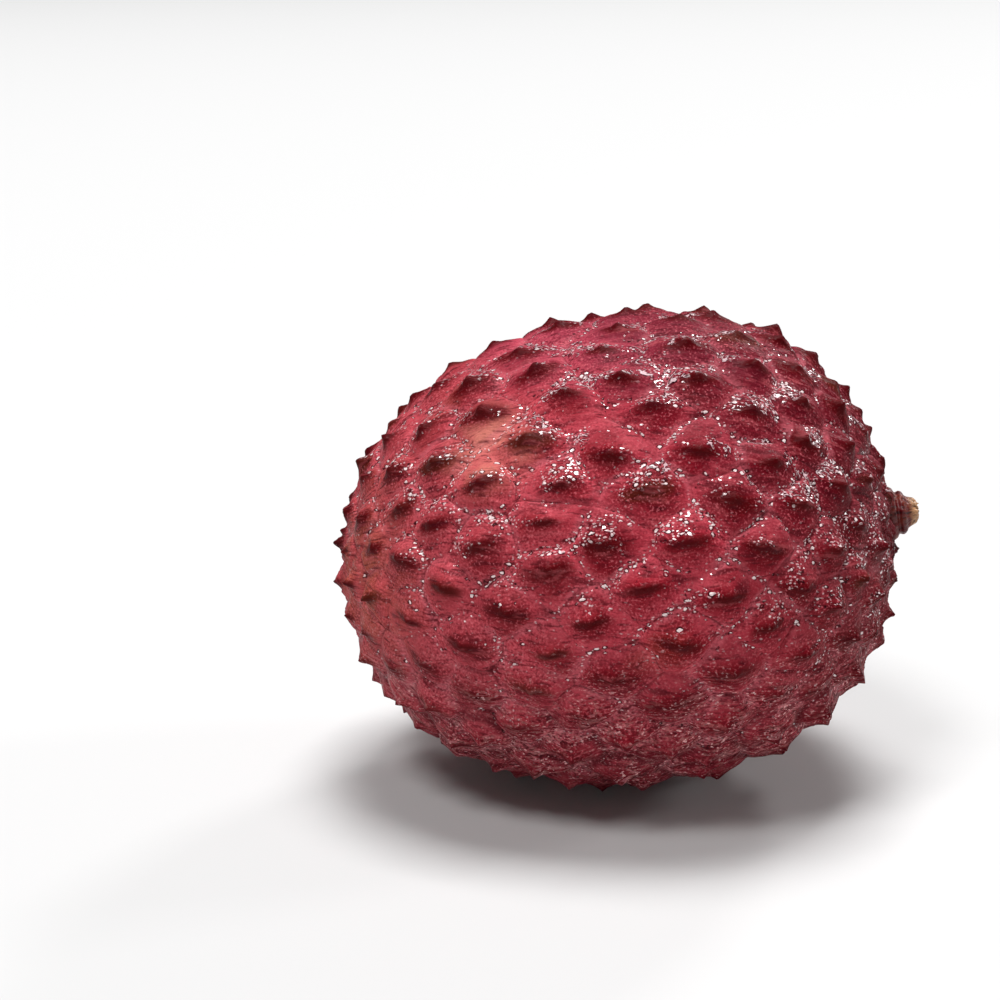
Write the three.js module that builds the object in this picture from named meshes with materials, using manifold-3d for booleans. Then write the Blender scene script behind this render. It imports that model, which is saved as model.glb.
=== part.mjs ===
// A lychee: one whole ripe fruit, picked with the short stub of its stalk, lying on its side.
// Millimetres, +Z up, +X towards the stalk. The origin is on the surface that the fruit lies on,
// under the middle of the fruit's length and width.
import * as THREE from "three";
import { ConvexHull } from "three/addons/math/ConvexHull.js";
import { mergeVertices } from "three/addons/utils/BufferGeometryUtils.js";
import Module from "manifold-3d";

const wasm = await Module();
wasm.setup();

// The bare body, measured from its middle to the furrows between the scutes
const HALF_LENGTH = 18.85;
const HALF_WIDTH = 15.4;
const HALF_HEIGHT = 15.05;
const TAPER = 0.02; // the girth grows a little towards the stalk
const SHOULDER = 0.08; // and both ends are fuller than an ellipse's
const STALK_END_FLATTENING = 0.08;
const TILT = THREE.MathUtils.degToRad(9); // the stalk end lies higher

// The skin is a close paving of scutes, each swelling to one pointed tubercle
const SCUTES = 300;
const STRAY = 0.4; // of a scute's width, off an even spiral
const ROOM = 1.2; // scute widths between neighbours, below which they push each other apart
const PUSH = 0.25; // of what they lack, at each of the evening passes
const EVENING_PASSES = 8;
const CROWDING = 0.12; // the scutes are smaller at the two ends
const TIP_HEIGHT = 1.12;
const TIP_UNEVENNESS = 0.5;
const TIP_LEAN = 0.22; // of the way to one corner of its scute
const SHELF_HEIGHT = 0.4; // where the tubercle springs from its scute
const SHELF_REACH = 0.44; // of the way from the scute's middle to its corner
const KEEL_HEIGHT = 0.3; // a tubercle is keeled along the fruit
const KEEL_REACH = 0.18;
const END_HEIGHT = 0.72; // tubercles at the two ends, beside those of the middle

// The flat spot that the fruit lies on: its lowest tubercles, pressed flat
const PRESSED = 0.6;

// The stub of the stalk, in its shallow seat
const SEAT_ANGLE = 0.115; // half the width of the bare seat, seen from the middle
const SEAT_REACH = 0.8; // the seat is flat this far towards its corners
const STUB_LENGTH = 2.1;
const STUB_RADIUS = 1.5;
const STUB_PROFILE = [
  // radius and height, as shares of the two above
  [0, 0],
  [1, 0],
  [1.06, 0.16],
  [0.84, 0.36],
  [0.82, 0.56],
  [0.56, 0.8],
  [0.46, 1],
  [0, 0.9],
];
const STUB_SIDES = 16;
const STUB_GAP = 0.3;
const STUB_RIBS = 5;
const STUB_RIB_DEPTH = 0.07; // of the radius
const STUB_SLANT = 0.1; // the torn end is crooked by this share of its length

const RIND_COLOUR = 0xa83a48;
const STALK_COLOUR = 0x75503e;

const STALK_END = new THREE.Vector3(1, 0, 0);
const GOLDEN_ANGLE = Math.PI * (3 - Math.sqrt(5));
const PLASTIC = 1.32471795724;
const SCUTE_WIDTH = Math.sqrt((4 * Math.PI) / SCUTES); // on a ball of radius 1

// Repeatable, evenly spread numbers from -0.5 to 0.5
const spread = (i, power) => (((i + 1) / PLASTIC ** power) % 1) - 0.5;

// Directions from the middle of the fruit to the middles of its scutes
function scuteMiddles() {
  const middles = [];
  for (let i = 0; i < SCUTES; i++) {
    const along = 1 - (2 * i) / (SCUTES - 1);
    const around = Math.sqrt(1 - along * along);
    const turn = i * GOLDEN_ANGLE;
    const straying = new THREE.Vector3(spread(i, 1), spread(i, 2), spread(i, 3));
    const middle = new THREE.Vector3(along, around * Math.cos(turn), around * Math.sin(turn));
    const isEnd = i === 0 || i === SCUTES - 1;
    middles.push(isEnd ? middle : middle.addScaledVector(straying, 2 * STRAY * SCUTE_WIDTH).normalize());
  }
  for (let pass = 0; pass < EVENING_PASSES; pass++) pushApart(middles);
  return middles.map(crowdToEnds);
}

// Scutes that are too close to each other move apart a little; the two end ones stay
function pushApart(middles) {
  const pushes = middles.map(() => new THREE.Vector3());
  const between = new THREE.Vector3();
  middles.forEach((a, i) => {
    middles.slice(0, i).forEach((b, j) => {
      const room = between.subVectors(a, b).length() / SCUTE_WIDTH;
      if (room > ROOM) return;
      between.multiplyScalar((PUSH * (ROOM - room)) / room);
      pushes[i].add(between);
      pushes[j].sub(between);
    });
  });
  for (let i = 1; i < SCUTES - 1; i++) middles[i].add(pushes[i]).normalize();
}

function crowdToEnds(direction) {
  const fromEnd = Math.acos(THREE.MathUtils.clamp(direction.x, -1, 1));
  const moved = fromEnd - CROWDING * Math.sin(2 * fromEnd);
  const aside = new THREE.Vector3(0, direction.y, direction.z).normalize();
  return aside.multiplyScalar(Math.sin(moved)).setX(Math.cos(moved));
}

// The point of the skin in a direction from the fruit's middle, lifted off the bare body
function skin(direction, lift) {
  const { x, y, z } = direction;
  const girth = 1 + TAPER * x + SHOULDER * x * x;
  const reach = HALF_LENGTH * (x > 0 ? 1 - STALK_END_FLATTENING * x * x : 1);
  const point = new THREE.Vector3(reach * x, HALF_WIDTH * girth * y, HALF_HEIGHT * girth * z);
  const outward = new THREE.Vector3(x / HALF_LENGTH, y / HALF_WIDTH, z / HALF_HEIGHT).normalize();
  return point.addScaledVector(outward, lift);
}

const partWay = (a, b, share) => new THREE.Vector3().lerpVectors(a, b, share).normalize();

// A scute's middle and its corners, anticlockwise seen from outside. The corners are where three
// scutes meet: the normals of the hull around the middles of all the scutes.
function scutes(middles) {
  const hull = new ConvexHull().setFromPoints(middles);
  const found = new Map();
  for (const face of hull.faces) {
    for (let i = 0; i < 3; i++) {
      const inward = face.getEdge(i);
      if (!found.has(inward.head().point)) found.set(inward.head().point, cornersAround(inward));
    }
  }
  return middles.map((middle) => ({ middle, corners: found.get(middle) }));
}

function cornersAround(first) {
  const corners = [];
  let edge = first;
  do {
    corners.unshift(edge.face.normal);
    edge = edge.next.twin;
  } while (edge !== first);
  return corners;
}

// Triangles of one scute: its tubercle, up to the tip, and the slope down to the furrow
function scuteTriangles({ middle, corners }, i) {
  const isSeat = middle.angleTo(STALK_END) < SEAT_ANGLE;
  const height = isSeat ? 0 : 1 + (END_HEIGHT - 1) * middle.x ** 4 + TIP_UNEVENNESS * spread(i, 4);
  const leaning = corners[i % corners.length];
  const lean = isSeat ? 0 : TIP_LEAN * (0.5 + spread(i, 5));
  const tip = skin(partWay(middle, leaning, lean), TIP_HEIGHT * height);
  const shelf = corners.map((corner) => {
    const away = new THREE.Vector3().subVectors(corner, middle).normalize();
    const keel = away.x * away.x;
    const reach = isSeat ? SEAT_REACH : SHELF_REACH + KEEL_REACH * keel;
    return skin(partWay(middle, corner, reach), height * (SHELF_HEIGHT + KEEL_HEIGHT * keel));
  });
  const furrow = corners.map((corner) => skin(corner, 0));
  return corners.flatMap((_, k) => {
    const next = (k + 1) % corners.length;
    return [
      [tip, shelf[k], shelf[next]],
      [shelf[k], furrow[k], furrow[next]],
      [shelf[k], furrow[next], shelf[next]],
    ].flat();
  });
}

// A closed geometry as a solid that can be cut, and back
function solidOf(geometry) {
  const bare = geometry.clone().deleteAttribute("uv").deleteAttribute("normal");
  const { attributes, index } = mergeVertices(bare, 1e-3);
  const vertProperties = attributes.position.array;
  return new wasm.Manifold(new wasm.Mesh({ numProp: 3, vertProperties, triVerts: index.array }));
}

function geometryOf(solid) {
  const { vertProperties, triVerts } = solid.getMesh();
  return new THREE.BufferGeometry()
    .setAttribute("position", new THREE.BufferAttribute(vertProperties, 3))
    .setIndex(new THREE.BufferAttribute(triVerts, 1));
}

// The whole fruit in its own frame: its middle at the origin, its stalk end towards +X
function fruitGeometry() {
  const points = scutes(scuteMiddles()).flatMap(scuteTriangles);
  const uncut = new THREE.BufferGeometry().setFromPoints(points);
  const lying = uncut.clone().applyMatrix4(new THREE.Matrix4().makeRotationY(-TILT));
  lying.computeBoundingBox();
  const below = 4 * HALF_LENGTH;
  const table = new THREE.BoxGeometry(below, below, below)
    .translate(0, 0, lying.boundingBox.min.z + PRESSED - below / 2)
    .applyMatrix4(new THREE.Matrix4().makeRotationY(TILT));
  return geometryOf(solidOf(uncut).subtract(solidOf(table)));
}

// The stub: a short woody stump with a wider foot, ribbed and torn off a little crooked
function stubGeometry() {
  const profile = STUB_PROFILE.map(
    ([radius, height]) => new THREE.Vector2(STUB_RADIUS * radius, STUB_LENGTH * height),
  );
  const stub = new THREE.LatheGeometry(profile, STUB_SIDES);
  const place = stub.attributes.position;
  for (let i = 0; i < place.count; i++) {
    const [x, height, y] = [place.getX(i), place.getY(i), place.getZ(i)];
    const rib = 1 + STUB_RIB_DEPTH * Math.cos(STUB_RIBS * Math.atan2(y, x));
    const torn = 1 + (STUB_SLANT * x) / STUB_RADIUS;
    place.setXYZ(i, x * rib, height * torn, y * rib);
  }
  return stub.rotateZ(-Math.PI / 2);
}

function named(name, geometry, color, roughness) {
  const mesh = new THREE.Mesh(geometry, new THREE.MeshStandardMaterial({ color, roughness, metalness: 0 }));
  mesh.name = name;
  return mesh;
}

const fruit = named("fruit", fruitGeometry(), RIND_COLOUR, 0.45);
const stub = named("stalk_stub", stubGeometry(), STALK_COLOUR, 0.85);
stub.position.copy(skin(STALK_END, STUB_GAP));

const lychee = new THREE.Group();
lychee.add(fruit, stub);
lychee.rotation.y = -TILT;

const extent = new THREE.Box3().setFromObject(lychee, true);
const middle = extent.getCenter(new THREE.Vector3());
lychee.position.set(-middle.x, -middle.y, -extent.min.z);

export default lychee;
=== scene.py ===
"""A ripe lychee on a pale floor: its knobbly crimson rind and the torn stub of its stalk."""

import itertools
import math

import bmesh
import bpy
import numpy as np
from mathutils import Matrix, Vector, kdtree, noise


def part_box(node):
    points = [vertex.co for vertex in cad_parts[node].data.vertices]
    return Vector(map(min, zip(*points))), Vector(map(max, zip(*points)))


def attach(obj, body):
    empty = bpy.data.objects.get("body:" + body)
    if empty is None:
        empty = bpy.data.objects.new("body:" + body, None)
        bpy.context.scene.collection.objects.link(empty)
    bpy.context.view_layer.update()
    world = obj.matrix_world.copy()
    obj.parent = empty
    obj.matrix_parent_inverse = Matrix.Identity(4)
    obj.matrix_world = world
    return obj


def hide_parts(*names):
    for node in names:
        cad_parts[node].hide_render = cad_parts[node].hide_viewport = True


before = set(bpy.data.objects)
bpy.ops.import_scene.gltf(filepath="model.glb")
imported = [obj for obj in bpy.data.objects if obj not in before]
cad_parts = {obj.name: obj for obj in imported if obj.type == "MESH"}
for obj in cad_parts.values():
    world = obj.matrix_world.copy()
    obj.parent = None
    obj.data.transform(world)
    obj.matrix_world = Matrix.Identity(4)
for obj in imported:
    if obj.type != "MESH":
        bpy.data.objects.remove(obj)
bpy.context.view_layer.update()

# ---- Rind ------------------------------------------------------------------------------------
# The fruit grew as one piece, and only its rind shows: a thin, leathery skin, paved with some
# 300 scutes that each swell to a keeled tubercle. It is worked out of a copy of the CAD fruit,
# and every scute and tip stays where that has it.
MM = 0.001  # places are in metres, and heights and lengths in millimetres
WELD = 0.002 * MM
FLAT = 0.001 * MM  # a face lower than this belongs to a pressed tubercle
PRESSED = 0.6  # what the lowest tubercles lost where the fruit lies on them
STEPS = 6  # along each edge of the CAD fruit
BODY_TERMS = [p for p in itertools.product(range(5), repeat=3) if sum(p) <= 4]
CORNER_EDGES = 9  # that meet at a corner of three scutes
LOWEST_TIP = 0.25
STALK_AXIS = np.array([1, 0, 0.07])  # the way that the ridges run

SCUTE_WIDTH = 4.3  # of a usual one, from tip to tip
NEIGHBOURS = 5  # nearest tips, the scute's own among them, that decide where its furrows run
FURROW_CORNERS = 3.5  # more leaves the scutes' corners sharper
SHELF_WAY = 1.15  # from the furrow to the shelf of the tubercle
SWERVE = 0.32  # of the furrows, off straight lines
WOBBLE = 0.2  # of a ridge or a stain, off a smooth outline
RIM_HEIGHT = 0.18
RIM_WIDTH = 0.22
RIM_DEPTHS = (0.5, 1.2)  # the furrows are shallower or deeper by these shares
SWELL_HEIGHT = 0.45
SWELL_WIDTH = 0.9
SWELL_SHARES = (0.9, 0.5)  # of that height, low down and on the upper side
SWELL_AT_TIP = 0.8

RIDGE_REACH = 1.5  # around the fruit
RIDGE_STRETCH = (1.8, 3.4)  # how many times further it reaches along the fruit
RIDGE_SHARES = (0.5, 0.6)  # of a tubercle's height, low and halfway up; the rest is its prickle's
RIDGE_TURN = 0.3  # radians, at most, off the length of the fruit
PRICKLE_REACH = 0.9
KNOB_REACH = 1.6  # of the lower, blunter tubercles of the upper side
KNOB_HEIGHTS = (0.3, 0.45)  # of their mound and of the prickle on it, beside a sharp one
KNOB_BLUNTNESS = 0.15
SIZES = (0.85, 1.15)
RAGGED = 0.25  # the foot of a tubercle wanders by this share of its size
HOLLOW = 1.9  # power that makes their flanks hollow
SHARPENED = 1.12
BLUNTNESS = (0.01, 0.1)
LEAN = (0.1, 0.5)  # one flank is steeper than the other by this share
CREST_WIDTH = 0.15
HALFWAY = (4, 10)  # heights above the floor between which low tubercles turn into middle ones
UPPER_SIDE = (13, 21)  # and middle ones into those of the upper side

CROWN = 0.35  # the body is this much fuller at the top
DENTS = 0.12
CREASES = 0.06
FOLDS = 0.08
PLEATS = 0.12
MERIDIAN_GIRTH = 16  # the folds are as close as on a body of this radius
MERIDIAN_DRIFT = 0.3  # and change this much along the fruit, beside around it
STAIN_WIDTH = 0.65  # of the dark stain over each tip, for a usual scute
STAIN_LENGTH = 1.8
STAIN_SHIFT = 0.1  # towards the flank painted darker, as a little painted shade under the crest


def body_terms(directions):
    """The terms of the polynomial that gives the bare body's reach in each direction: products
    of powers of x, y and z."""
    return np.stack([(directions ** power).prod(axis=1) for power in BODY_TERMS], axis=1)


def split(vectors):
    """The directions and the lengths of vectors."""
    lengths = np.linalg.norm(vectors, axis=1)
    return vectors / lengths[:, None], lengths


def places(verts):
    return np.array([vert.co for vert in verts], float).reshape(-1, 3)


def waves(points, length, octaves=2, seed=0):
    """Smooth noise of about -1 to 1 at points, with waves of so many millimetres."""
    shift = Vector((seed * 17.3, seed * 7.1, seed * 3.7))
    scaled = points / (length * MM)
    return np.array([noise.fractal(Vector(p) + shift, 1, 2, octaves) for p in scaled])


def ease(values, start, end):
    """0 at start and 1 at end, with a smooth change between them."""
    share = np.clip((values - start) / (end - start), 0, 1)
    return share * share * (3 - 2 * share)


def between(shares, ends):
    return ends[0] + (ends[1] - ends[0]) * shares


def rounded(along, across, bluntness):
    """The distance from a tip, with the tip rounded off."""
    return np.sqrt(along ** 2 + across ** 2 + bluntness ** 2) - bluntness


def flare(distance, reach):
    """1 at a tip, falling down a hollow flank to 0 at its reach."""
    return np.clip(1 - distance / reach, 0, 1) ** HOLLOW


def keep_numbers(mesh, name, values):
    """Keep a number at each vertex, for the materials."""
    kept = mesh.attributes.new(name, "FLOAT", "POINT")
    kept.data.foreach_set("value", values.astype(np.float32))


def keep_vectors(mesh, name, values):
    """Keep a vector at each vertex, for the materials."""
    kept = mesh.attributes.new(name, "FLOAT_VECTOR", "POINT")
    kept.data.foreach_set("vector", values.astype(np.float32).ravel())


def stand(name, data):
    """A new object in the scene."""
    thing = bpy.data.objects.new(name, data)
    bpy.context.scene.collection.objects.link(thing)
    return thing


low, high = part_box("fruit")
middle = np.array((low + high) / 2)

# The bare body, without its scutes, goes through the corners where three of them meet
shape = bmesh.new()
rise = shape.verts.layers.float.new("rise")
shape.from_mesh(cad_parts["fruit"].data)
bmesh.ops.remove_doubles(shape, verts=shape.verts, dist=WELD)
corners = [vert for vert in shape.verts if len(vert.link_edges) == CORNER_EDGES]
directions, lengths = split(places(corners) - middle)
body = np.linalg.lstsq(body_terms(directions), lengths, rcond=None)[0]


def body_reach(directions):
    """How far the bare body reaches from the fruit's middle in each direction, in metres."""
    return body_terms(directions) @ body


# The pressed tubercles get their tips back, to be pressed again once they are shaped
flats = [face for face in shape.faces if all(vert.co.z < FLAT for vert in face.verts)]
flats = bmesh.ops.dissolve_faces(shape, faces=flats)["region"]
for vert in bmesh.ops.poke(shape, faces=flats)["verts"]:
    vert.co.z -= PRESSED * MM

# Each vertex of the CAD fruit is in a furrow, on the shelf of a tubercle, or at its tip
shape.verts.index_update()
directions, lengths = split(places(shape.verts) - middle)
heights = (lengths - body_reach(directions)) / MM
tips = []
for vert in shape.verts:
    around = [edge.other_vert(vert).index for edge in vert.link_edges]
    is_corner = len(around) == CORNER_EDGES
    is_tip = heights[vert.index] > max(LOWEST_TIP, *heights[around])
    vert[rise] = 0.0 if is_corner else 2.0 if is_tip else 1.0
    if is_tip:
        tips.append(vert.index)
tip_heights = heights[tips]
tip_feet = middle + directions[tips] * body_reach(directions[tips])[:, None]

bmesh.ops.subdivide_edges(shape, edges=shape.edges[:], cuts=STEPS - 1, use_grid_fill=True)
rind_mesh = bpy.data.meshes.new("rind")
shape.to_mesh(rind_mesh)
shape.free()

# The bare body, at each vertex of the fine mesh, and its outward direction there
count = len(rind_mesh.vertices)
points = np.empty(count * 3)
rind_mesh.vertices.foreach_get("co", points)
directions, _ = split(points.reshape(-1, 3) - middle)
feet = middle + directions * body_reach(directions)[:, None]
rind_mesh.vertices.foreach_set("co", feet.ravel())
rind_mesh.update()
outward = np.empty(count * 3, np.float32)
rind_mesh.vertex_normals.foreach_get("vector", outward)
outward = outward.reshape(-1, 3).astype(float)
rises = np.empty(count, np.float32)
rind_mesh.attributes["rise"].data.foreach_get("value", rises)
uphill = rises * SHELF_WAY

tree = kdtree.KDTree(len(tips))
for index, foot in enumerate(tip_feet):
    tree.insert(foot, index)
tree.balance()
own = np.array([tree.find(foot)[1] for foot in feet])
spacing = np.array([tree.find_n(foot, 2)[1][2] for foot in tip_feet]) / MM
room = spacing[own] / SCUTE_WIDTH

# The way to the furrow, in millimetres, rounded off in the scute's corners
nearest = [tree.find_n(foot, NEIGHBOURS) for foot in feet]
away = np.array([[found[2] for found in few] for few in nearest]) / MM
others = np.array([[found[1] for found in few] for few in nearest])
apart = np.linalg.norm(tip_feet[others[:, 1:]] - tip_feet[others[:, :1]], axis=2) / MM
ways = (away[:, 1:] ** 2 - away[:, :1] ** 2) / (2 * apart)
from_furrow = -np.log(np.exp(-FURROW_CORNERS * ways).sum(axis=1)) / FURROW_CORNERS
from_furrow = np.maximum(from_furrow, 0)

# Each scute draws its lots: ridge, size, bluntness, lean, and how brown its stain is
rng = np.random.default_rng(7)
lots = rng.random((len(tips), 5))[own]
turns = rng.uniform(-RIDGE_TURN, RIDGE_TURN, len(tips))[own]

# Where each vertex lies beside the foot of its own tubercle: along its ridge and across it
ripple = np.stack([waves(feet, 2.4, 2, seed) for seed in (1, 2, 3)], axis=1)
beside = (feet - tip_feet[own]) / MM + WOBBLE * ripple
stalkward = STALK_AXIS - outward * (outward @ STALK_AXIS)[:, None]
stalkward, _ = split(stalkward + 1e-9)
sideways = np.cross(outward, stalkward)
stalkward, sideways = (
    stalkward * np.cos(turns)[:, None] + sideways * np.sin(turns)[:, None],
    sideways * np.cos(turns)[:, None] - stalkward * np.sin(turns)[:, None],
)
along = (beside * stalkward).sum(axis=1)
across = (beside * sideways).sum(axis=1)

# A vector that is the same all along each meridian of the fruit, but for a slow change
radial = (feet - middle) * (0, 1, 1)
girth = np.linalg.norm(radial, axis=1) + 1e-6
meridian = radial / girth[:, None] * MERIDIAN_GIRTH * MM
meridian[:, 0] = (feet - middle)[:, 0] * MERIDIAN_DRIFT

# A ridge with a prickle low down and halfway up, and a blunt knob on the upper side
waist = 1 - outward[:, 0] ** 2  # 1 at the waist and 0 at the two ends
stretch = 1 + (between(lots[:, 0], RIDGE_STRETCH) - 1) * waist
size = room * between(lots[:, 1], SIZES) / (1 + RAGGED * waves(feet, 1.1, 2, 6))
blunt = between(lots[:, 2], BLUNTNESS)
leaning = across * (1 - between(lots[:, 3], LEAN) * np.tanh(across / CREST_WIDTH))
from_ridge = rounded(along / stretch, leaning, blunt)
ridge = flare(from_ridge, size * RIDGE_REACH)
prickle = flare(rounded(along, leaning, blunt), size * PRICKLE_REACH)
blunt_prickle = flare(rounded(along, leaning, KNOB_BLUNTNESS), size * PRICKLE_REACH)
mound = ease(1 - from_ridge / (size * KNOB_REACH), 0, 1)
knob = KNOB_HEIGHTS[0] * mound + KNOB_HEIGHTS[1] * blunt_prickle
halfway, sunward = (
    ease(feet[:, 2] + 2 * MM * waves(feet, 9, 1, seed), start * MM, end * MM)
    for (start, end), seed in ((HALFWAY, 12), (UPPER_SIDE, 11))
)
sharp = between(between(halfway, RIDGE_SHARES), (prickle, ridge))
climb = between(sunward, (sharp, knob))

# The relief: rims along the furrows, the swell of each scute, its tubercle, and the folds
depth = between(ease(waves(feet, 5, 1, 8), -0.5, 0.5), RIM_DEPTHS)
rim = RIM_HEIGHT * (1 - np.exp(-uphill / RIM_WIDTH)) * depth
fullness = SWELL_HEIGHT * between(sunward, SWELL_SHARES)
swell = fullness * (1 - np.exp(-from_furrow / SWELL_WIDTH))
peak = np.maximum(tip_heights[own] - RIM_HEIGHT - SWELL_AT_TIP * fullness, 0)
tubercle = SHARPENED * peak * climb * ease(from_furrow, 0, 0.5)
pleats = 0.25 - np.abs(waves(meridian, 1.5, 3, 10))
folds = FOLDS * waves(meridian, 0.9, 2, 9) + PLEATS * pleats
folds *= between(ease(uphill, 0, 0.4), (0.3, 1))
folds *= 1 + ease((feet - middle)[:, 0], 6 * MM, 15 * MM)
crown = CROWN * ease(outward[:, 2] + 0.2 * outward[:, 0], 0.3, 1)
dents = DENTS * waves(feet, 6, 2, 4) + crown
creases = CREASES * waves(feet, 0.8, 2, 5)
relief = rim + swell + tubercle + folds + dents + creases

swerve = ripple - outward * (ripple * outward).sum(axis=1)[:, None]
points = feet + (outward * relief[:, None] + SWERVE * swerve * (1 - climb)[:, None]) * MM
points[:, 2] = np.maximum(points[:, 2], 0)
rind_mesh.vertices.foreach_set("co", points.ravel())
rind_mesh.update()

stain_across = (across + STAIN_SHIFT) / (STAIN_WIDTH * room)
stain_along = along / (STAIN_LENGTH * room * (1 + 0.35 * waist))
stained = np.exp(-stain_across ** 2 - stain_along ** 2)
keep_numbers(rind_mesh, "tip", stained * ease(from_furrow, 0, 0.8))
keep_numbers(rind_mesh, "furrow", uphill)
keep_numbers(rind_mesh, "flank", across / room)
keep_numbers(rind_mesh, "inland", from_furrow)
keep_numbers(rind_mesh, "lot", 0.5 + (lots[:, 3] - 0.5) * ease(uphill, 0, 0.5))
keep_numbers(rind_mesh, "brown", lots[:, 4] * ease(uphill, 0, 0.5))
keep_vectors(rind_mesh, "meridian", meridian)

rind = stand("rind", rind_mesh)
rind_mesh.shade_smooth()
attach(rind, "root")
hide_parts("fruit")


class Value:
    """A node's output. Arithmetic on it adds Math nodes."""

    def __init__(self, finish, socket):
        self.finish = finish
        self.socket = socket

    def __add__(self, other):
        return self.finish.maths("ADD", self, other)

    def __sub__(self, other):
        return self.finish.maths("SUBTRACT", self, other)

    def __rsub__(self, other):
        return self.finish.maths("SUBTRACT", other, self)

    def __mul__(self, other):
        return self.finish.maths("MULTIPLY", self, other)

    def __gt__(self, other):
        return self.finish.maths("GREATER_THAN", self, other)

    def __abs__(self):
        return self.finish.maths("ABSOLUTE", self)

    __radd__ = __add__
    __rmul__ = __mul__


class Finish:
    """A material and its nodes, with the colour that has been painted so far."""

    def __init__(self, name, ground):
        self.material = bpy.data.materials.new(name)
        self.material.use_nodes = True
        self.tree = self.material.node_tree
        self.tree.nodes.clear()
        self.painted = ground

    def add(self, kind, settings=None, inputs=None, output=None):
        """A node of a kind, with its settings and the values or links of its sockets. It gives
        back the output of a name, or else the first."""
        node = self.tree.nodes.new("ShaderNode" + kind)
        for setting, value in (settings or {}).items():
            setattr(node, setting, value)
        live = [socket for socket in node.inputs if socket.enabled]
        for name, value in (inputs or {}).items():
            named = [socket for socket in live if socket.name == name]
            socket = live[name] if isinstance(name, int) else named[0]
            if isinstance(value, Value):
                self.tree.links.new(value.socket, socket)
            else:
                socket.default_value = value
        live = [socket for socket in node.outputs if socket.enabled]
        named = [socket for socket in live if output in (None, socket.name)]
        return Value(self, named[0]) if named else None

    def maths(self, operation, *values):
        return self.add("Math", {"operation": operation}, dict(enumerate(values)))

    def vector_maths(self, operation, inputs):
        return self.add("VectorMath", {"operation": operation}, inputs)

    def clamp(self, value):
        return self.add("Clamp", {}, {"Value": value})

    def mix(self, a, b, share):
        """Colour a turned into colour b by a share of 0 to 1."""
        return self.add("Mix", {"data_type": "RGBA"}, {"Factor": share, "A": a, "B": b})

    def paint(self, shade, share):
        """A coat of colour over what has been painted, as thick as its share."""
        self.painted = self.mix(self.painted, shade, share)

    def ease(self, value, start, end, low=0.0, high=1.0):
        """low below start and high above end, with a smooth change between them."""
        inputs = {"Value": value, "From Min": start, "From Max": end}
        inputs |= {"To Min": low, "To Max": high}
        return self.add("MapRange", {"interpolation_type": "SMOOTHSTEP"}, inputs)

    def kept(self, name, output="Fac"):
        """What the mesh keeps at its vertices under a name."""
        return self.add("Attribute", {"attribute_name": name}, output=output)

    def waves(self, where, length, detail=2.0, output=None):
        """Noise of 0 to 1 with waves of so many millimetres."""
        inputs = {"Vector": where, "Scale": 1 / (length * MM), "Detail": detail}
        return self.add("TexNoise", {}, inputs, output)

    def grains(self, where, width):
        """Round grains so many millimetres wide: how far each point is up its grain, from 1 at
        the grain's middle to 0 and below around it, and two lots that the grain draws."""
        steepness = 5.0  # a grain then ends short of its neighbours
        cells = self.add("TexVoronoi", {}, {"Vector": where, "Scale": 1 / (width * MM)})
        tint = Value(self, cells.socket.node.outputs["Color"])
        first = self.add("SeparateColor", {}, {"Color": tint})
        second = Value(self, first.socket.node.outputs["Green"])
        return 1 - cells * cells * steepness, first, second

    def near(self, where, spot, radius):
        """1 at a spot, in millimetres, falling to 0 at a radius."""
        away = self.vector_maths("DISTANCE", {0: where, 1: [c * MM for c in spot]})
        return self.ease(away, radius * MM, 0.2 * radius * MM)

    def bump(self, height):
        """The surface raised by a height in millimetres."""
        return self.add("Bump", {}, {"Height": height, "Strength": 1.0, "Distance": MM})

    def put_on(self, mesh, sockets):
        """End the material with its shader, and put it on a mesh."""
        shader = self.add("BsdfPrincipled", {}, {"Base Color": self.painted, **sockets})
        self.add("OutputMaterial", {}, {"Surface": shader})
        mesh.materials.append(self.material)


def colour(red, green, blue):
    """An sRGB colour of 0 to 255 as a node takes it."""
    def linear(c):
        return c / 12.92 if c <= 0.04045 else ((c + 0.055) / 1.055) ** 2.4
    return (linear(red / 255), linear(green / 255), linear(blue / 255), 1)


def swing(value, reach):
    """A noise of 0 to 1 turned into a change to either side, of half the reach at most."""
    return reach * (value - 0.5)


FURROW_PINK = colour(184, 60, 74)
SCUTE_CRIMSON = colour(142, 18, 34)
PATCH_CRIMSON = colour(122, 12, 30)
BLOSSOM_END_ROSE = colour(198, 88, 94)
TAN = colour(156, 74, 48)
STALK_END_CLARET = colour(106, 4, 16)
COLLAR_CLARET = colour(86, 6, 6)
TOP_PINK = colour(204, 84, 108)
SHOULDER_WINE = colour(88, 4, 22)
RUSSET = colour(170, 86, 62)
RUSSET_SPOT = (-17, -7.2, 15.7)
PAINTED_FLANK_HIGHLIGHT = colour(206, 98, 110)
PAINTED_FLANK_SHADE = colour(76, 2, 16)
BEIGE = colour(222, 132, 118)
BEIGE_SPOT = (-8.9, -10.2, 25.8)
RED_STAIN = colour(92, 4, 12)
BROWN_STAIN = colour(84, 34, 16)
TIP_MAROON = colour(62, 4, 6)
PAINTED_LOW_SHADE = colour(104, 16, 32)
PAINTED_LOW_FURROW_SHADE = colour(58, 2, 12)
RIM_PINK = colour(208, 108, 120)
PAINTED_CREASE_SHADE = colour(72, 8, 16)
DARK_STREAK = colour(66, 6, 16)
PALE_STREAK = colour(202, 92, 100)
PAINTED_SHEEN_WISP = colour(168, 84, 86)
DARK_WISP = colour(70, 6, 18)
PALE_LOW_WISP = colour(204, 144, 140)
PAINTED_SHADE_SPECK = colour(38, 0, 8)
PAINTED_GLINT_SPECK = colour(248, 196, 196)
WRINKLE = colour(208, 132, 138)
DARK_GRAIN = colour(84, 6, 18)
PALE_GRAIN = colour(224, 112, 122)
PAINTED_BEAD_SHADE = colour(30, 0, 6)
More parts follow.
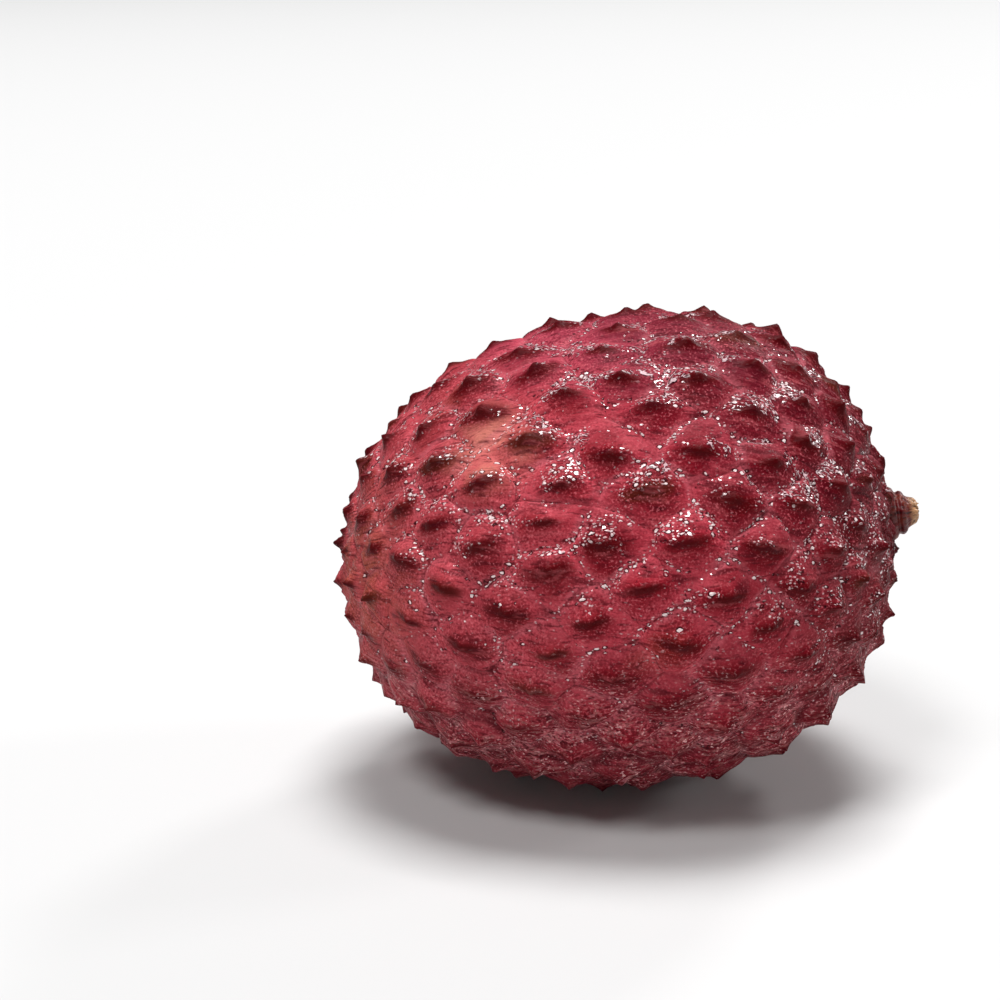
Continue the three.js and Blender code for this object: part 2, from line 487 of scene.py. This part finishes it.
PAINTED_FINE_BEAD_GLINT = colour(248, 206, 210)
PAINTED_BEAD_GLINT = colour(255, 236, 236)
PAINTED_GLAZE_SHADE = colour(44, 0, 12)
PAINTED_GLAZE_GLINT = colour(255, 220, 226)
BEAD_WIDTH = 0.32
FINE_BEAD_WIDTH = 0.2
SWIRL = 0.32 * MM  # the beads are squeezed and shifted by this much

skin = Finish("rind", FURROW_PINK)
place = skin.add("TexCoord", output="Object")
endward = skin.add("SeparateXYZ", {}, {"Vector": place}, output="X")
upward = skin.add("SeparateXYZ", {}, {"Vector": place}, output="Z")
flow = skin.kept("meridian", output="Vector")
tip = skin.kept("tip")
furrow = skin.kept("furrow")
flank = skin.kept("flank")
inland = skin.kept("inland")
lot = skin.kept("lot")
browned = skin.kept("brown")
patches = skin.waves(place, 7.0)
blush = skin.waves(place, 2.2, 3.0)
mottle = skin.waves(place, 0.6, 3.0)
streaks = skin.waves(flow, 0.5, 3.0)
wisps = skin.waves(flow, 0.22, 3.0)

# Pink furrows around crimson scutes, in redder, rosier and tan patches
skin.paint(SCUTE_CRIMSON, skin.ease(inland + swing(blush, 2.4), 0.0, 1.2))
skin.paint(PATCH_CRIMSON, skin.ease(patches + swing(lot, 0.4), 0.45, 0.75, high=0.5))
rosy = skin.ease(endward + swing(patches, 8 * MM), 2 * MM, -17 * MM, high=0.45)
skin.paint(BLOSSOM_END_ROSE, rosy)
skin.paint(TAN, skin.ease(skin.waves(place, 9.0, 3.0), 0.6, 0.75, high=0.35))

# Darker towards the stalk and on the shoulder above it, pink on the very top, and one russet
# cheek near the other end
skin.paint(STALK_END_CLARET, skin.ease(endward, 3 * MM, 17 * MM, high=0.85))
collar = skin.ease(endward + swing(patches, 6 * MM), 11 * MM, 18 * MM, high=0.75)
skin.paint(COLLAR_CLARET, collar)
skin.paint(TOP_PINK, skin.ease(upward, 27.5 * MM, 31 * MM, high=0.6))
skin.paint(SHOULDER_WINE, skin.ease(upward + 0.7 * endward, 23 * MM, 35 * MM, high=0.8))
russet = skin.near(place, RUSSET_SPOT, 8) * skin.ease(blush, 0.35, 0.6, 0.2, 0.7)
skin.paint(RUSSET, russet)

# Painted light and shade on the tubercles: one flank of each, the upper one on the front of the
# fruit, is painted lighter as a highlight, and the other darker as painted shade, most of all low
# on the fruit
skin.paint(PAINTED_FLANK_HIGHLIGHT, skin.ease(flank + swing(blush, 1.5), 0.2, 1.4, high=0.15))
flank_shade_mask = skin.ease(flank + swing(blush, 1.5), -0.1, -0.8) * skin.ease(inland, 0.2, 0.7)
skin.paint(PAINTED_FLANK_SHADE, flank_shade_mask * skin.ease(upward, 5 * MM, 18 * MM, 0.7, 0.15))

# A beige spot high up
beige = skin.ease(blush, 0.35, 0.6, 0.3, 0.9) * skin.near(place, BEIGE_SPOT, 4.5)
skin.paint(BEIGE, beige)

# Stains over the tips, dark red and on some scutes brown; each sits a little towards the darker
# flank, as painted shade under the crest
stain = skin.ease(tip + swing(blush, 0.35) + swing(lot, 0.5) + swing(streaks, 0.7), 0.05, 0.8)
stain = stain * skin.ease(upward, 5 * MM, 16 * MM, 0.45, 0.95)
stain_colour = skin.mix(RED_STAIN, BROWN_STAIN, skin.ease(browned, 0.75, 0.95, high=0.8))
skin.paint(stain_colour, stain)
skin.paint(TIP_MAROON, skin.ease(tip + swing(streaks, 0.9), 0.5, 0.95, high=0.6))

# Painted shade: the lower part is painted darker, most of all in its furrows
skin.paint(PAINTED_LOW_SHADE, skin.ease(upward + 4 * MM * patches, 16 * MM, 5 * MM, high=0.45))
low_furrow_shade_mask = skin.ease(inland + swing(blush, 0.8), 0.5, 0.0, high=0.7)
skin.paint(PAINTED_LOW_FURROW_SHADE, low_furrow_shade_mask * skin.ease(upward, 14 * MM, 6 * MM))

# Pale rims along the furrows, and broken dark lines of painted shade in the creases at their
# bottom
rims = skin.ease(furrow + swing(mottle, 0.3), 0.5, 0.2) * skin.ease(blush, 0.4, 0.65, high=0.4)
skin.paint(RIM_PINK, rims)
crease_shade_mask = skin.ease(furrow + 0.15 * mottle, 0.22, 0.08)
crease_shade_mask = crease_shade_mask * skin.ease(skin.waves(place, 3.0), 0.43, 0.58, high=0.5)
skin.paint(PAINTED_CREASE_SHADE, crease_shade_mask)

# Streaks along the fruit, and finer wisps between them; towards the stalk end and low down, pale
# wisps are a painted sheen
skin.paint(DARK_STREAK, skin.ease(streaks, 0.46, 0.3, high=0.65))
skin.paint(PALE_STREAK, skin.ease(streaks, 0.56, 0.72, high=0.35))
sheen_wisp_mask = skin.ease(endward - 0.5 * upward, -6 * MM, 6 * MM) * skin.ease(tip, 0.5, 0.1)
skin.paint(PAINTED_SHEEN_WISP, skin.ease(wisps, 0.5, 0.7, high=0.12) * sheen_wisp_mask)
skin.paint(DARK_WISP, skin.ease(wisps, 0.45, 0.3, high=0.65))

# On the lower part: pale wisps, painted glints as pale specks with painted shade as dark specks
# between them, and fine wrinkles
lower = skin.ease(upward + swing(patches, 4 * MM), 15 * MM, 6 * MM)
pale_low_wisp_mask = skin.ease(wisps, 0.52, 0.62, high=0.4) * lower * skin.ease(blush, 0.4, 0.6, 0.4, 1.0)
skin.paint(PALE_LOW_WISP, pale_low_wisp_mask)
busy = upward - 0.15 * endward + swing(patches, 6 * MM)
busy = skin.ease(busy, 17 * MM, 5 * MM, 0.04, 1.0) * skin.ease(blush, 0.4, 0.6, 0.3, 1.0)
specks = skin.waves(skin.vector_maths("MULTIPLY", {0: place, 1: (0.6, 1, 1)}), 0.16, 1.0)
skin.paint(PAINTED_SHADE_SPECK, skin.ease(specks, 0.48, 0.34, high=0.75) * busy)
skin.paint(PAINTED_GLINT_SPECK, skin.ease(specks, 0.63, 0.71, high=0.95) * busy)
wrinkles = skin.ease(abs(streaks - 0.5), 0.03, 0.005) * skin.ease(blush, 0.45, 0.6, high=0.6)
skin.paint(WRINKLE, wrinkles * lower)

# A fine grain everywhere but on the tips, finer than the beads
plain = skin.ease(tip + swing(mottle, 0.6), 1.0, 0.45)
rough_patches = skin.waves(place, 2.6)
grained = plain * skin.ease(rough_patches, 0.3, 0.6, 0.3, 1.0) * (1 - beige)
fine = skin.waves(place, 0.15, 1.0)
skin.paint(DARK_GRAIN, skin.ease(fine, 0.5, 0.32, high=0.5) * grained)
skin.paint(PALE_GRAIN, skin.ease(fine, 0.54, 0.74, high=0.5) * grained)

# Wet beads of two sizes, their cores painted pale as glints and ringed with painted shade:
# clumped on the upper side, in chains along furrows
upper = skin.ease(upward + 0.15 * endward, 6 * MM, 21 * MM, 0.15, 1.15)
swirl = skin.vector_maths("SCALE", {0: skin.waves(place, 0.5, output="Color"), "Scale": SWIRL})
drawn_out = skin.vector_maths("MULTIPLY_ADD", {0: place, 1: (0.7, 1, 1), 2: swirl})
chains = skin.ease(furrow, 0.45, 0.15) * skin.ease(skin.waves(place, 1.8), 0.4, 0.55)
clumps = skin.ease(rough_patches + 0.28 * upper, 0.74, 0.88)
clumps = clumps * skin.ease(flank + swing(mottle, 2) + 0.5 * upper, 0.0, 0.8)
crowd = 0.75 * clumps * upper + 0.7 * chains * (0.35 + 0.6 * upper)
bead, bead_lot, bead_size = skin.grains(drawn_out, BEAD_WIDTH)
present = (bead_lot > 1 - skin.ease(upper, 0.5, 1.15, 0.45, 0.7) * crowd) * plain
beads = skin.ease(bead - 0.45 * bead_size, 0.3, 0.6) * present
fine_bead, fine_lot, fine_size = skin.grains(drawn_out, FINE_BEAD_WIDTH)
fine_present = fine_lot + 0.6 * crowd + 0.5 * clumps * skin.ease(upper, 0.7, 1.2)
fine_present = skin.ease(fine_present, 0.85, 1.0) * plain
fine_beads = skin.ease(fine_bead - 0.3 * fine_size, 0.2, 0.6) * fine_present
ringed = skin.ease(bead_size, 0.9, 0.4, high=0.85)
skin.paint(PAINTED_BEAD_SHADE, ringed * skin.ease(bead, 0.6, 0.3) * skin.ease(bead, -0.6, 0.1) * present)
skin.paint(PAINTED_FINE_BEAD_GLINT, skin.ease(crowd, 0.1, 0.8, 0.15, 0.6) * fine_beads)
skin.paint(PAINTED_BEAD_GLINT, skin.ease(upper, 0.2, 1.0, 0.65, 0.9) * beads)

# Short glossy lines where the upper side is wettest, painted white as glints with dark edges of
# painted shade
ripples = abs(skin.waves(drawn_out, 0.4, 0.5) - 0.5)
wet = clumps * skin.ease(skin.waves(place, 0.5), 0.46, 0.58)
wet = wet * skin.ease(upward + 0.3 * endward, 22 * MM, 29 * MM)
wet = skin.ease(wet, 0.3, 0.5) * plain
glaze = skin.ease(ripples, 0.045, 0.02) * wet
skin.paint(PAINTED_GLAZE_SHADE, skin.ease(ripples, 0.22, 0.1, high=0.6) * wet)
skin.paint(PAINTED_GLAZE_GLINT, glaze * 0.7)

# What stands up too little for the mesh, in millimetres
domes = skin.clamp(bead) * present
fine_domes = skin.clamp(fine_bead) * fine_present
fine_relief = (
    0.03 * glaze + 0.03 * specks * lower + 0.04 * domes + 0.03 * fine_domes
    + 0.12 * streaks + 0.08 * mottle + 0.02 * fine * plain + 0.06 * wisps
)
skin.put_on(rind_mesh, {
    "Roughness": skin.ease(mottle, 0.3, 0.7, 0.55, 0.4), "Specular IOR Level": 0.05,
    "Coat Weight": skin.clamp(beads + fine_beads + 0.5 * glaze),
    "Coat Roughness": 0.2, "Coat IOR": 1.9, "Normal": skin.bump(fine_relief),
})

# ---- Stub of the stalk -----------------------------------------------------------------------
# The dry end of the stalk that the fruit hung from, left in its shallow seat: a woody cone with
# two rings around it, torn off at a pale, fibrous end.
STUB_SIDES = 32
STUB_PROFILE = [  # radius and height
    (0.0, -0.5), (1.70, -0.5), (1.78, 0.0), (1.80, 0.25), (1.66, 0.5), (1.42, 0.6), (1.40, 0.72),
    (1.50, 0.9), (1.40, 1.12), (1.12, 1.25), (1.02, 1.4), (0.92, 1.6), (0.76, 1.8), (0.58, 1.92),
    (0.3, 1.84), (0.0, 1.76),
]
STUB_STEPS = 4  # along each edge of that
SMOOTHINGS = 4
POLE_EDGES = 10  # more than this many meet only at the two ends of the stub's axis
GRAIN_GIRTH = 1.5  # the grain is as close as on a stalk of this radius
GRAIN_DRAWN_OUT = 0.4
RIBS = 5
RIB_DEPTH = 0.035  # of the radius, as are the next two
SHRINKAGE = 0.09
FIBRES = 0.04
SLANT = 0.16  # of the torn end
SPLINTERS = 0.26
RED_BARK = colour(90, 14, 18)
BROWN_BARK = colour(110, 42, 30)
TORN_WOOD = colour(188, 142, 100)
DARK_FIBRE = colour(34, 6, 8)

cad_stub = bmesh.new()
cad_stub.from_mesh(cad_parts["stalk_stub"].data)
bmesh.ops.remove_doubles(cad_stub, verts=cad_stub.verts, dist=WELD)
poles = [vert.co.copy() for vert in cad_stub.verts if len(vert.link_edges) > POLE_EDGES]
poles.sort(key=lambda pole: pole.x)
cad_stub.free()
stub_foot = np.array(poles[0])
stub_up = np.array((poles[1] - poles[0]).normalized())
stub_side = split(np.cross(stub_up, [[0, 1, 0]]))[0][0]
stub_across = np.cross(stub_up, stub_side)

# The cone is turned in millimetres, upright, and then stood on the foot of the CAD stub
cone = bmesh.new()
ends = [cone.verts.new((radius, 0, height)) for radius, height in STUB_PROFILE]
edges = [cone.edges.new(pair) for pair in zip(ends, ends[1:])]
bmesh.ops.spin(
    cone, geom=ends + edges, cent=(0, 0, 0), axis=(0, 0, 1), angle=2 * math.pi,
    steps=STUB_SIDES, use_merge=True,
)
bmesh.ops.remove_doubles(cone, verts=cone.verts, dist=WELD / MM)
bmesh.ops.subdivide_edges(cone, edges=cone.edges[:], cuts=STUB_STEPS - 1, use_grid_fill=True)
for _ in range(SMOOTHINGS):
    bmesh.ops.smooth_vert(
        cone, verts=cone.verts, factor=0.5, use_axis_x=True, use_axis_y=True, use_axis_z=True
    )
bmesh.ops.recalc_face_normals(cone, faces=cone.faces)
x, y, z = places(cone.verts).T
radius = np.hypot(x, y)
turn = np.arctan2(y, x)
girth = GRAIN_GIRTH * np.minimum(radius, 1)
grain = [girth * np.cos(turn), girth * np.sin(turn), z * GRAIN_DRAWN_OUT]
grain = np.stack(grain, axis=1) * MM
ribs = RIB_DEPTH * np.cos(RIBS * turn + 0.7) + SHRINKAGE * waves(grain, 1.1, 3, 21)
ribs += FIBRES * waves(grain, 0.35, 2, 22)
splinters = SPLINTERS * waves(grain * (1, 1, 0), 0.5, 3, 23)
torn = ease(z, 1.2, 2.0) * np.minimum(radius / 0.6, 1)
z = z + torn * (SLANT * np.cos(turn - 1.2) + splinters)
radius = radius * (1 + ribs)
stub_points = stub_foot + MM * (
    stub_up * z[:, None]
    + stub_side * (radius * np.cos(turn))[:, None]
    + stub_across * (radius * np.sin(turn))[:, None]
)
stub_mesh = bpy.data.meshes.new("stub")
cone.to_mesh(stub_mesh)
cone.free()
stub_mesh.vertices.foreach_set("co", stub_points.ravel())
stub_mesh.update()
keep_numbers(stub_mesh, "level", z)
keep_vectors(stub_mesh, "grain", grain)
stub = stand("stub", stub_mesh)
stub_mesh.shade_smooth()
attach(stub, "root")
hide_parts("stalk_stub")

wood = Finish("stalk", RED_BARK)
fibre = wood.waves(wood.kept("grain", output="Vector"), 0.25, 3.0)
blots = wood.waves(wood.add("TexCoord", output="Object"), 0.9, 3.0)
level = wood.kept("level")
wood.paint(BROWN_BARK, wood.ease(blots, 0.4, 0.65))
wood.paint(TORN_WOOD, wood.ease(level + swing(blots, 0.8), 1.3, 1.8, high=0.85))
wood.paint(DARK_FIBRE, wood.ease(fibre, 0.5, 0.34, high=0.85))
wood.put_on(stub_mesh, {
    "Roughness": 0.35, "Specular IOR Level": 0.3,
    "Normal": wood.bump(0.12 * fibre + 0.05 * blots),
})

# ---- Floor, lights and camera ----------------------------------------------------------------
# A plain pale floor, five soft lights far enough away to light the fruit evenly, a little light
# from the room around it, and the camera.
FLOOR = 6.0
ROOM_LIGHT = 0.1
LIGHT_DISTANCE = 3.0
LIGHTS = {  # direction from the fruit, width and radiance
    "top_light": ((0.05, 0.1, 1), 1.2, 20.0),
    "key_light": ((-0.3, -0.45, 0.9), 0.8, 19.0),
    "back_light": ((0.5, 0.9, 0.6), 0.5, 28.0),
    "right_light": ((1, 0.3, 0.4), 0.5, 20.0),
    "front_light": ((-0.1, -1, 0.35), 0.2, 30.0),
}
LENS = 80.0
CAMERA_DISTANCE = 0.150
ELEVATION = math.radians(16.5)
AIM = (-0.0078, 0, 0.0032)  # from the middle of the fruit

floor_shape = bmesh.new()
bmesh.ops.create_grid(floor_shape, x_segments=1, y_segments=1, size=FLOOR)
floor_mesh = bpy.data.meshes.new("floor")
floor_shape.to_mesh(floor_mesh)
floor_shape.free()
floor = stand("floor", floor_mesh)
pale = Finish("floor", colour(208, 208, 208))
pale.put_on(floor_mesh, {"Roughness": 0.9})

world = bpy.data.worlds.new("room")
world.use_nodes = True
walls = world.node_tree.nodes["Background"]
walls.inputs["Color"].default_value = (1, 1, 1, 1)
walls.inputs["Strength"].default_value = ROOM_LIGHT
bpy.context.scene.world = world

centre = Vector(middle)
for name, (towards, width, radiance) in LIGHTS.items():
    lamp = bpy.data.lights.new(name, "AREA")
    lamp.size = width
    lamp.energy = radiance * math.pi * width ** 2
    towards = Vector(towards).normalized()
    softbox = stand(name, lamp)
    softbox.location = centre + towards * LIGHT_DISTANCE
    softbox.rotation_euler = towards.to_track_quat("Z", "Y").to_euler()

camera = stand("camera", bpy.data.cameras.new("camera"))
camera.data.lens = LENS
camera.data.clip_start = 0.005
backward = Vector((0, -math.cos(ELEVATION), math.sin(ELEVATION)))
camera.location = centre + CAMERA_DISTANCE * backward
aim = centre + Vector(AIM)
camera.rotation_euler = (aim - camera.location).to_track_quat("-Z", "Y").to_euler()
bpy.context.scene.camera = camera
bpy.context.scene.view_settings.view_transform = "Standard"
